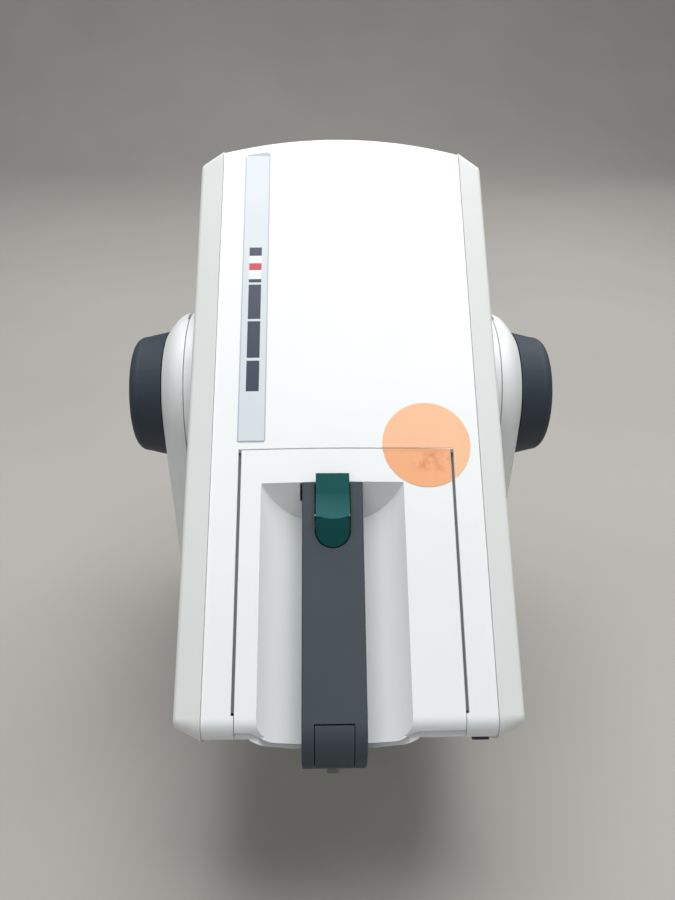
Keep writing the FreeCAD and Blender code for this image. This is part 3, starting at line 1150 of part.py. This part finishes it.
# ---- whole machine ----------------------------------------------------------------------
def housing_pieces():
    """Every piece drawn in the housing's frame."""
    pieces = {}
    pieces.update(make_covers())
    side = make_side_cover()
    pieces["right_side_cover"] = side
    pieces["left_side_cover"] = mirrored(side)
    pieces["hub_rings"] = both_sides(make_hub_ring())
    pieces["flap"] = make_flap()
    pieces["flap_hinge_arms"] = make_hinge_arms()
    pieces["flap_hinge_pins"] = make_hinge_pins()
    pieces["handle_bar"] = make_handle()
    pieces["start_key"] = make_start_key()
    pieces["start_key_pin"] = make_key_pin()
    pieces["start_switch"] = make_start_switch()
    pieces["release_latch"] = make_release_latch()
    pieces["latch_pin"] = make_latch_pin()
    pieces["base_rack"] = make_rack(BASE_X)
    pieces["catalyst_rack"] = make_rack(CATALYST_X)
    pieces["base_plunger"] = make_plunger(BASE_X, BASE_PLUNGER_R)
    pieces["catalyst_plunger"] = make_plunger(CATALYST_X, CATALYST_PLUNGER_R)
    pieces.update(make_drive())
    pieces.update(make_axle_group())
    pieces["hand_wheels"] = both_sides(make_wheel())
    pieces["wheel_caps"] = both_sides(make_wheel_cap())
    pieces.update(make_chassis())
    pieces["cartridge_cradle"] = make_cradle()
    pieces["trunnions"] = both_sides(make_trunnion())
    pieces["axle_bushes"] = make_axle_bushes()
    pieces["control_board"] = make_control_board()
    pieces["side_label"] = make_label()
    pieces["sticker_upper"], pieces["sticker_lower"] = make_sticker()
    pieces["bottom_cover_screws"] = make_bottom_screws()
    pieces["front_plug"] = make_front_plug()
    pieces["latch_catch"] = make_latch_catch()
    return pieces


def stand_pieces():
    """Every piece drawn in the row frame."""
    pieces = {}
    pieces.update(make_stand_covers())
    pieces.update(make_stand_frame())
    pieces.update(make_power())
    return pieces


def all_pieces():
    """Every piece in the row frame, centred in plan over the origin, and the shift that did it."""
    tilt = FreeCAD.Placement(V(0, 0, LIFT), FreeCAD.Rotation(V(1, 0, 0), TILT))
    pieces = stand_pieces()
    for name, shape in housing_pieces().items():
        pieces[name] = placed(shape, tilt)
    bounds = FreeCAD.BoundBox()
    for shape in pieces.values():
        bounds.add(shape.optimalBoundingBox(False))
    shift = V(0, -(bounds.YMin + bounds.YMax) / 2, 0)
    moved = {name: shape.translated(shift) for name, shape in pieces.items()}
    return moved, shift


def placed(shape, placement):
    """The shape moved by a placement, on top of where it already is."""
    copy = shape.copy()
    copy.Placement = placement.multiply(copy.Placement)
    return copy


def main():
    os.makedirs("parts", exist_ok=True)
    pieces, shift = all_pieces()
    for name, shape in sorted(pieces.items()):
        shape.exportStep(os.path.join("parts", name + ".step"))
        solids = len(shape.Solids)
        print(f"{name:24s} solids {solids}  volume {shape.Volume / 1000:9.2f} cm3  valid {shape.isValid()}")
    print("pieces", len(pieces), "shift", round(shift.y, 3))


if __name__ == "__main__":
    main()
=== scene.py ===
import bpy
import json
import math
from mathutils import Matrix, Vector

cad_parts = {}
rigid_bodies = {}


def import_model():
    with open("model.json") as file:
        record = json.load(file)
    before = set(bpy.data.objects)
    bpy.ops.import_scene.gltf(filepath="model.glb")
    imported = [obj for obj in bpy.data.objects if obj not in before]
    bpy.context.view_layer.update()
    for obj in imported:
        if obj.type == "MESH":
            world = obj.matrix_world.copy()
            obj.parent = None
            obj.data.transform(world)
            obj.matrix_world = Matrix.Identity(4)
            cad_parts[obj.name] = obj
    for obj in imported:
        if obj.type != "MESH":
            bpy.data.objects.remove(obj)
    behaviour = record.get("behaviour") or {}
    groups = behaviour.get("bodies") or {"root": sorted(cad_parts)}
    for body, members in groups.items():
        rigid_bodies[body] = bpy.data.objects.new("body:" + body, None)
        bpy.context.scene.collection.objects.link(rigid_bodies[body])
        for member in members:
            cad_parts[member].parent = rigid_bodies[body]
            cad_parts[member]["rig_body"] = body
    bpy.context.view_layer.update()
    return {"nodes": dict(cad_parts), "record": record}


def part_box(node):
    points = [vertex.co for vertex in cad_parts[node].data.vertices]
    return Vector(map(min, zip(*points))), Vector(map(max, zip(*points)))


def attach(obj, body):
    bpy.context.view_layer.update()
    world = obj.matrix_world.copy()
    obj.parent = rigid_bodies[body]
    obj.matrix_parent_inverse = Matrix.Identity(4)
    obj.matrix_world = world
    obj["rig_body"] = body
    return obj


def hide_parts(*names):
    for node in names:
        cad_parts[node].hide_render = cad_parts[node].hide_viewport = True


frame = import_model()

# ---- where things are ---------------------------------------------------------------------
# The housing's own frame: x across, s along it from front to rear, n out of its top face.
mounts = {mount["name"]: mount for mount in frame["record"]["mounts"]}
shaft_end = mounts["drive_shaft_end"]
SHAFT_X, SHAFT_S, SHAFT_N = -0.0082, -0.007, -0.045
TILT = math.atan2(-shaft_end["axis"][2], -shaft_end["axis"][1])
turned = Matrix.Rotation(TILT, 4, "X")
zero_point = Vector(shaft_end["pos_m"]) - turned @ Vector((SHAFT_X, SHAFT_S, SHAFT_N))
HOUSING = Matrix.Translation(zero_point) @ turned

# Label strip: its edges, the column of ink and the blocks along it, in the housing's frame.
LABEL_X = (-0.0623, -0.0463)
LABEL_S = (0.1606, 0.3576)
LABEL_BORDER = 0.0006
LABEL_INK_X = (-0.0582, -0.0505)
NAVY = (0.018, 0.030, 0.065)
LABEL_BLOCKS = [
    (0.1915, 0.2112, NAVY), (0.2129, 0.2372, NAVY), (0.2386, 0.2622, NAVY), (0.2636, 0.2660, NAVY),
    (0.2662, 0.2822, (0.80, 0.82, 0.84)), (0.2722, 0.2772, (0.55, 0.035, 0.06)), (0.2824, 0.2884, NAVY),
]

# Lower sticker: the stained patch, the vertical fold and the lifted lip (both of these given painted shade),
# in the housing's frame.
STAIN_X = (0.036, 0.062)
STAIN_S = (0.141, 0.157)
FOLD_SHADE_X = (0.0505, 0.0512)
LIP_SHADE_S = (0.1535, 0.1565)

# Marks on the power rocker, from its middle.
RING_AWAY = 0.0043
RING_RADII = (0.0013, 0.0018)
BAR_ACROSS = (0.0040, 0.0046)
BAR_HALF = 0.0018

# Screws of the bottom cover.
SCREW_HEAD_RADIUS = 0.0036
SCREW_HEAD_HEIGHT = 0.002
SCREW_SHANK_RADIUS = 0.002
SCREW_SHANK_LENGTH = 0.0126
SCREW_DOME = 0.0010
RECESS_SIZE = (0.0042, 0.0008, 0.0024)
RECESS_TAPER = 0.45

EYE_PLACE = (-0.01722, 0.01446, 0.42092)      # in the housing's frame
EYE_TURN = (58.568, -0.688, -1.424)           # degrees, in the room


def select_none():
    bpy.ops.object.select_all(action="DESELECT")


# ---- materials ----------------------------------------------------------------------------
def new_material(name):
    material = bpy.data.materials.new(name)
    material.use_nodes = True
    tree = material.node_tree
    shader = tree.nodes["Principled BSDF"]
    coords = tree.nodes.new("ShaderNodeTexCoord")
    return material, tree, shader, coords.outputs["Object"]


def noise(tree, coords, scale, detail=4.0, rough=0.5, stretch=None):
    if stretch:
        mapping = tree.nodes.new("ShaderNodeMapping")
        mapping.inputs["Scale"].default_value = stretch
        tree.links.new(coords, mapping.inputs["Vector"])
        coords = mapping.outputs["Vector"]
    node = tree.nodes.new("ShaderNodeTexNoise")
    node.inputs["Scale"].default_value = scale
    node.inputs["Detail"].default_value = detail
    node.inputs["Roughness"].default_value = rough
    tree.links.new(coords, node.inputs["Vector"])
    return node.outputs["Fac"]


def ramp(tree, value, stops):
    node = tree.nodes.new("ShaderNodeValToRGB")
    while len(node.color_ramp.elements) < len(stops):
        node.color_ramp.elements.new(0.5)
    for element, (place, colour) in zip(node.color_ramp.elements, stops):
        element.position = place
        element.color = (*colour, 1)
    tree.links.new(value, node.inputs["Fac"])
    return node.outputs["Color"]


def grey(value):
    return (value, value, value)


def shade(colour, factor):
    return tuple(min(1.0, channel * factor) for channel in colour)


def add_bump(tree, shader, heights, distance, strength=1.0):
    node = tree.nodes.new("ShaderNodeBump")
    node.inputs["Distance"].default_value = distance
    node.inputs["Strength"].default_value = strength
    tree.links.new(heights, node.inputs["Height"])
    tree.links.new(node.outputs["Normal"], shader.inputs["Normal"])


def moulded(name, colour, rough, grain=900.0, depth=0.00004, spread=0.04, rough_spread=0.06, coat=0.0):
    """Injection-moulded plastic: fine spark grain, faint tone drift and uneven gloss."""
    material, tree, shader, coords = new_material(name)
    drift = noise(tree, coords, 9.0, 3.0)
    tone = ramp(tree, drift, [(0.3, shade(colour, 1 - spread)), (0.7, shade(colour, 1 + spread))])
    tree.links.new(tone, shader.inputs["Base Color"])
    gloss = noise(tree, coords, 45.0, 5.0)
    tree.links.new(
        ramp(tree, gloss, [(0.3, grey(rough - rough_spread)), (0.7, grey(rough + rough_spread))]),
        shader.inputs["Roughness"])
    add_bump(tree, shader, noise(tree, coords, grain, 3.0, 0.6), depth)
    shader.inputs["IOR"].default_value = 1.49
    shader.inputs["Coat Weight"].default_value = coat
    return material


def metal(name, colour, rough, stretch=(1, 1, 30), scale=60.0, depth=0.00001):
    """Brushed or turned metal: fine lines along one way and a little staining."""
    material, tree, shader, coords = new_material(name)
    lines = noise(tree, coords, scale, 6.0, 0.6, stretch)
    stain = noise(tree, coords, 18.0, 4.0)
    tree.links.new(
        ramp(tree, stain, [(0.3, shade(colour, 0.86)), (0.7, colour)]), shader.inputs["Base Color"])
    tree.links.new(
        ramp(tree, lines, [(0.25, grey(rough * 0.7)), (0.75, grey(rough * 1.3))]),
        shader.inputs["Roughness"])
    shader.inputs["Metallic"].default_value = 1.0
    add_bump(tree, shader, lines, depth)
    return material


def math_node(tree, kind, first, second):
    node = tree.nodes.new("ShaderNodeMath")
    node.operation = kind
    for socket, value in zip(node.inputs, (first, second)):
        if isinstance(value, (int, float)):
            socket.default_value = value
        else:
            tree.links.new(value, socket)
    return node.outputs["Value"]


def housing_axes(tree, coords):
    """x, s and n of the housing's frame, from the object coordinates."""
    back = HOUSING.inverted()
    mapping = tree.nodes.new("ShaderNodeMapping")
    mapping.inputs["Location"].default_value = back.translation
    mapping.inputs["Rotation"].default_value = back.to_euler()
    tree.links.new(coords, mapping.inputs["Vector"])
    split = tree.nodes.new("ShaderNodeSeparateXYZ")
    tree.links.new(mapping.outputs["Vector"], split.inputs["Vector"])
    return split.outputs["X"], split.outputs["Y"], split.outputs["Z"]


def between(tree, value, low, high, soft=0.0001):
    """1 where value lies between low and high, with a soft edge."""
    half, middle = (high - low) / 2, (high + low) / 2
    away = math_node(tree, "ABSOLUTE", math_node(tree, "SUBTRACT", value, middle), 0.0)
    inside = math_node(tree, "DIVIDE", math_node(tree, "SUBTRACT", half, away), soft)
    clamp = tree.nodes.new("ShaderNodeClamp")
    tree.links.new(inside, clamp.inputs["Value"])
    return clamp.outputs["Result"]


def paint_over(tree, shader, mask, colour):
    """Mixes a colour over what already feeds the base colour, where mask is 1."""
    socket = shader.inputs["Base Color"]
    mix = tree.nodes.new("ShaderNodeMix")
    mix.data_type = "RGBA"
    tree.links.new(mask, mix.inputs["Factor"])
    tree.links.new(socket.links[0].from_socket, mix.inputs["A"])
    mix.inputs["B"].default_value = (*colour, 1)
    tree.links.new(mix.outputs["Result"], socket)


def printed_label():
    """Silver-grey foil with plain ink blocks and a fine border."""
    material = moulded(
        "silver_label_foil", (0.64, 0.69, 0.72), 0.42, grain=2500.0, depth=0.00001, spread=0.015)
    tree = material.node_tree
    shader = tree.nodes["Principled BSDF"]
    coords = tree.nodes["Texture Coordinate"].outputs["Object"]
    x, s, _ = housing_axes(tree, coords)
    inner = math_node(
        tree, "MULTIPLY",
        between(tree, x, LABEL_X[0] + LABEL_BORDER, LABEL_X[1] - LABEL_BORDER),
        between(tree, s, LABEL_S[0] + LABEL_BORDER, LABEL_S[1] - LABEL_BORDER))
    paint_over(tree, shader, math_node(tree, "SUBTRACT", 1.0, inner), (0.42, 0.47, 0.52))
    column = between(tree, x, *LABEL_INK_X)
    for low, high, colour in LABEL_BLOCKS:
        mask = math_node(tree, "MULTIPLY", column, between(tree, s, low, high))
        paint_over(tree, shader, mask, colour)
    return material


def sticker_paper(name, smudged):
    """Orange fluorescent paper; the part on the flap is faded brown where it was lifted, and darkened with
    painted shade along its fold and its lifted lip.
    """
    orange = (0.90, 0.44, 0.23) if smudged else (0.93, 0.54, 0.33)
    material = moulded(name, orange, 0.8, grain=700.0, depth=0.00004, spread=0.03)
    tree = material.node_tree
    shader = tree.nodes["Principled BSDF"]
    coords = tree.nodes["Texture Coordinate"].outputs["Object"]
    if smudged:
        x, s, _ = housing_axes(tree, coords)
        blotch = ramp(tree, noise(tree, coords, 130.0, 5.0, 0.65), [(0.42, grey(0.0)), (0.68, grey(1.0))])
        patch = math_node(tree, "MULTIPLY", between(tree, x, *STAIN_X, 0.006),
                          between(tree, s, *STAIN_S, 0.005))
        faded = math_node(tree, "MULTIPLY", blotch, patch)
        paint_over(tree, shader, math_node(tree, "MULTIPLY", faded, 0.75), (0.62, 0.24, 0.10))
        # Painted shade: a darker line down the crease of the fold.
        fold_shade = between(tree, x, *FOLD_SHADE_X, 0.0006)
        paint_over(tree, shader, math_node(tree, "MULTIPLY", fold_shade, 0.35), (0.60, 0.26, 0.12))
        # Painted shade: a darker band along the lifted lip of the paper.
        lip_shade = between(tree, s, *LIP_SHADE_S, 0.0015)
        paint_over(tree, shader, math_node(tree, "MULTIPLY", lip_shade, 0.30), (0.66, 0.30, 0.14))
    return material


def marked_rocker():
    """Black rocker with a white ring on its off half and a white bar on its on half."""
    material = moulded("marked_rocker_plastic", (0.020, 0.020, 0.022), 0.4, spread=0.08)
    tree = material.node_tree
    shader = tree.nodes["Principled BSDF"]
    split = tree.nodes.new("ShaderNodeSeparateXYZ")
    tree.links.new(tree.nodes["Texture Coordinate"].outputs["Object"], split.inputs["Vector"])
    low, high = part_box("power_rocker")
    middle_x, middle_z = (low[0] + high[0]) / 2, (low[2] + high[2]) / 2
    across = math_node(tree, "SUBTRACT", split.outputs["X"], middle_x)
    up = math_node(tree, "SUBTRACT", split.outputs["Z"], middle_z)
    ring_across = math_node(tree, "ADD", across, RING_AWAY)
    squares = math_node(tree, "ADD", math_node(tree, "MULTIPLY", ring_across, ring_across),
                        math_node(tree, "MULTIPLY", up, up))
    ring = between(tree, math_node(tree, "SQRT", squares, 0.0), *RING_RADII)
    bar = math_node(tree, "MULTIPLY", between(tree, across, *BAR_ACROSS),
                    between(tree, up, -BAR_HALF, BAR_HALF))
    for mark in (ring, bar):
        paint_over(tree, shader, mark, (0.78, 0.78, 0.76))
    return material


finishes = {
    "white": moulded("white_housing_plastic", (0.85, 0.872, 0.868), 0.45, spread=0.02),
    # Painted shade: the side covers are the same white plastic, given a greyer copy for the shade on their
    # sloping strips.
    "side": moulded("shaded_side_cover_plastic", (0.77, 0.785, 0.765), 0.48, spread=0.02),
    "slate": moulded("slate_grip_plastic",
        (0.040, 0.052, 0.068), 0.6, grain=1400.0, depth=0.00010, spread=0.10),
    "bar": moulded("grey_handle_plastic",
        (0.058, 0.074, 0.086), 0.6, grain=1400.0, depth=0.00010, spread=0.08),
    "green": moulded("green_key_plastic",
        (0.001, 0.082, 0.080), 0.68, grain=1200.0, depth=0.00006, spread=0.08),
    "silver": printed_label(),
    "paper": sticker_paper("orange_sticker_paper", False),
    "lifted_paper": sticker_paper("lifted_sticker_paper", True),
    "rocker": marked_rocker(),
    "black": moulded("black_socket_plastic", (0.022, 0.022, 0.025), 0.45, spread=0.10),
    "natural": moulded("natural_nylon", (0.74, 0.72, 0.64), 0.5),
    "board": moulded("board_lacquer", (0.02, 0.16, 0.06), 0.35),
    "rubber": moulded("foot_rubber", (0.025, 0.025, 0.026), 0.8, depth=0.00012),
    "coat": moulded("grey_powder_coat", (0.30, 0.32, 0.35), 0.5, grain=600.0, depth=0.00010),
    "steel": metal("brushed_steel_finish", (0.60, 0.61, 0.63), 0.28),
    # Painted shade: a darker copy of the brushed steel for the drive shaft tip, which sits in shade under
    # the handle's hooked end.
    "steel_in_shade": metal("shaded_steel_finish", (0.20, 0.205, 0.215), 0.42),
    "cast": metal("cast_alloy_finish",
        (0.62, 0.63, 0.64), 0.5, stretch=(1, 1, 1), scale=400.0, depth=0.00006),
    "brass": metal("turned_brass_finish", (0.76, 0.58, 0.26), 0.25),
}
for dark in ("slate", "bar", "green", "black", "paper", "lifted_paper"):
    finishes[dark].node_tree.nodes["Principled BSDF"].inputs["Specular IOR Level"].default_value = 0.25
worn_by = {
    "white": ["top_cover", "bottom_cover", "front_panel", "flap", "arm_front_covers",
              "arm_rear_covers", "foot_cover", "hub_rings"],
    # Painted shade: the side covers wear the greyer copy of the white plastic.
    "side": ["left_side_cover", "right_side_cover"],
    "slate": ["hand_wheels", "wheel_caps", "front_plug"],
    "bar": ["handle_bar", "release_latch"],
    "green": ["start_key"],
    "silver": ["side_label"],
    "paper": ["sticker_upper"],
    "lifted_paper": ["sticker_lower"],
    "black": ["start_switch", "mains_inlet", "switch_bezel"],
    "rocker": ["power_rocker"],
    "natural": ["feed_gear", "mixer_motor_gear", "rack_guides", "base_plunger", "catalyst_plunger",
                "cartridge_cradle"],
    "board": ["control_board"],
    "rubber": ["rubber_feet"],
    "coat": ["chassis_plates", "front_bulkhead", "motor_plate", "guide_rail",
             "feed_motor_bracket", "steel_base_plate", "uprights", "transformer"],
    "steel": ["wheel_axle", "rack_pinions", "base_rack", "catalyst_rack",
              "flap_hinge_pins", "start_key_pin", "latch_pin", "latch_catch", "tie_rods",
              "bottom_cover_screws", "mixer_motor", "mixer_gearbox", "feed_gearmotor", "shaft_bearings"],
    # Painted shade: the drive shaft gets the darker copy of the brushed steel.
    "steel_in_shade": ["mixer_drive_shaft"],
    "cast": ["trunnions", "flap_hinge_arms"],
    "brass": ["axle_bushes", "inlet_pins", "feed_pinion", "mixer_shaft_gear"],
}
for finish, nodes in worn_by.items():
    for node in nodes:
        piece = frame["nodes"][node]
        piece.data.materials.clear()
        piece.data.materials.append(finishes[finish])


# ---- screws of the bottom cover ------------------------------------------------------------
def edit_faces(piece, wanted):
    """Enters edit mode with only the faces for which wanted(face) holds selected."""
    select_none()
    piece.select_set(True)
    bpy.context.view_layer.objects.active = piece
    bpy.ops.object.mode_set(mode="EDIT")
    bpy.ops.mesh.select_mode(type="FACE")
    bpy.ops.mesh.select_all(action="DESELECT")
    bpy.ops.object.mode_set(mode="OBJECT")
    for face in piece.data.polygons:
        face.select = wanted(face)
    bpy.ops.object.mode_set(mode="EDIT")


def make_cover_screw(name, x, head_s, n):
    """Pan head with a cross recess and a turned-down shank, along the housing's s axis."""
    select_none()
    bpy.ops.mesh.primitive_cylinder_add(
        vertices=48, radius=SCREW_HEAD_RADIUS, depth=SCREW_HEAD_HEIGHT,
        location=(0, 0, -SCREW_HEAD_HEIGHT / 2))
    screw = bpy.context.active_object
    screw.name = name
    edit_faces(screw, lambda face: face.normal.z > 0.9)
    bpy.ops.mesh.bevel(offset=SCREW_DOME, segments=5, affect="EDGES")
    bpy.ops.object.mode_set(mode="OBJECT")
    edit_faces(screw, lambda face: face.normal.z < -0.9)
    bpy.ops.mesh.inset(thickness=SCREW_HEAD_RADIUS - SCREW_SHANK_RADIUS)
    bpy.ops.mesh.extrude_region_move(TRANSFORM_OT_translate={"value": (0, 0, -SCREW_SHANK_LENGTH)})
    bpy.ops.mesh.bevel(offset=0.0004, segments=2, affect="EDGES")
    bpy.ops.object.mode_set(mode="OBJECT")
    for turn in (0, 90):
        select_none()
        bpy.ops.mesh.primitive_cube_add(
            size=1, location=(0, 0, 0), rotation=(0, 0, math.radians(turn)), scale=RECESS_SIZE)
        blade = bpy.context.active_object
        bpy.ops.object.transform_apply()
        edit_faces(blade, lambda face: face.normal.z < -0.9)
        bpy.ops.transform.resize(value=(RECESS_TAPER, RECESS_TAPER, 1))
        bpy.ops.object.mode_set(mode="OBJECT")
        select_none()
        bpy.context.view_layer.objects.active = screw
        cut = screw.modifiers.new("recess", "BOOLEAN")
        cut.operation = "DIFFERENCE"
        cut.object = blade
        bpy.ops.object.modifier_apply(modifier=cut.name)
        bpy.data.objects.remove(blade)
    screw.matrix_world = HOUSING @ Matrix.Translation((x, head_s, n)) @ Matrix.Rotation(-math.pi / 2, 4, "X")
    select_none()
    screw.select_set(True)
    bpy.context.view_layer.objects.active = screw
    bpy.ops.object.transform_apply()
    bpy.ops.object.shade_smooth_by_angle(angle=math.radians(35))
    return screw


def make_cover_screws():
    """Both screws in one piece, where the bottom cover holds them."""
    back = HOUSING.inverted()
    corners = [back @ vertex.co for vertex in frame["nodes"]["bottom_cover_screws"].data.vertices]
    pair = []
    for side in (-1, 1):
        own = [corner for corner in corners if corner.x * side > 0]
        x = (min(corner.x for corner in own) + max(corner.x for corner in own)) / 2
        n = (min(corner.z for corner in own) + max(corner.z for corner in own)) / 2
        pair.append(make_cover_screw("cross_head_screw", x, max(corner.y for corner in own), n))
    select_none()
    for screw in pair:
        screw.select_set(True)
    bpy.context.view_layer.objects.active = pair[0]
    bpy.ops.object.join()
    pair[0].name = "cross_head_screws"
    pair[0].data.materials.append(finishes["steel"])
    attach(pair[0], frame["nodes"]["bottom_cover_screws"]["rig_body"])
    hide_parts("bottom_cover_screws")


make_cover_screws()


# ---- room, lights and camera --------------------------------------------------------------
def make_backdrop():
    """A floor that curves up into a wall well behind the machine."""
    select_none()
    bpy.ops.mesh.primitive_plane_add(size=8.0, location=(0, -2.2, 0))
    backdrop = bpy.context.active_object
    backdrop.name = "studio_backdrop"
    bpy.ops.object.transform_apply()
    bpy.ops.object.mode_set(mode="EDIT")
    bpy.ops.mesh.select_all(action="DESELECT")
    bpy.ops.object.mode_set(mode="OBJECT")
    far = max(vertex.co.y for vertex in backdrop.data.vertices)
    for edge in backdrop.data.edges:
        edge.select = all(backdrop.data.vertices[i].co.y > far - 0.01 for i in edge.vertices)
    bpy.ops.object.mode_set(mode="EDIT")
    bpy.ops.mesh.select_mode(type="EDGE")
    radius, steps = 0.9, 18
    for step in range(steps):
        low, high = (math.pi / 2 * turn / steps for turn in (step, step + 1))
        rise = radius * (math.cos(low) - math.cos(high))
        run = radius * (math.sin(high) - math.sin(low))
        bpy.ops.mesh.extrude_region_move(TRANSFORM_OT_translate={"value": (0, run, rise)})
    bpy.ops.mesh.extrude_region_move(TRANSFORM_OT_translate={"value": (0, 0, 2.5)})
    bpy.ops.mesh.select_all(action="SELECT")
    bpy.ops.mesh.normals_make_consistent(inside=False)
    bpy.ops.object.mode_set(mode="OBJECT")
    bpy.ops.object.shade_smooth()
    material, tree, shader, coords = new_material("pale_backdrop")
    tone = ramp(tree, noise(tree, coords, 3.0), [(0.3, (0.36, 0.345, 0.32)), (0.7, (0.39, 0.375, 0.35))])
    tree.links.new(tone, shader.inputs["Base Color"])
    shader.inputs["Roughness"].default_value = 0.8
    backdrop.data.materials.append(material)


def area_light(name, place, target, size, power, colour=(1, 1, 1)):
    light = bpy.data.lights.new(name, "AREA")
    light.shape = "RECTANGLE"
    light.size, light.size_y = size
    light.energy = power
    light.color = colour
    lamp = bpy.data.objects.new(name, light)
    bpy.context.collection.objects.link(lamp)
    lamp.location = place
    lamp.rotation_euler = (Vector(target) - Vector(place)).to_track_quat("-Z", "Y").to_euler()


def make_camera():
    camera = bpy.data.cameras.new("camera")
    camera.sensor_width = 36.0
    camera.lens = 31.12
    camera.clip_start = 0.01
    eye = bpy.data.objects.new("camera", camera)
    bpy.context.collection.objects.link(eye)
    eye.location = HOUSING @ Vector(EYE_PLACE)
    eye.rotation_euler = [math.radians(angle) for angle in EYE_TURN]
    bpy.context.scene.camera = eye


make_backdrop()
make_camera()
area_light("ceiling_panel", (0.1, 0.32, 1.9), (0, 0.05, 0.2), (1.8, 1.4), 41)
area_light("front_fill", (-0.9, -1.6, 1.5), (0, 0, 0.2), (1.4, 1.0), 3.5)
area_light("rear_rim", (0.9, 1.4, 1.2), (0, 0, 0.25), (1.0, 0.8), 5)
world = bpy.data.worlds.new("soft_room")
world.use_nodes = True
world.node_tree.nodes["Background"].inputs["Color"].default_value = (0.84, 0.87, 0.90, 1)
world.node_tree.nodes["Background"].inputs["Strength"].default_value = 0.36
bpy.context.scene.world = world
bpy.context.scene.view_settings.view_transform = "Standard"
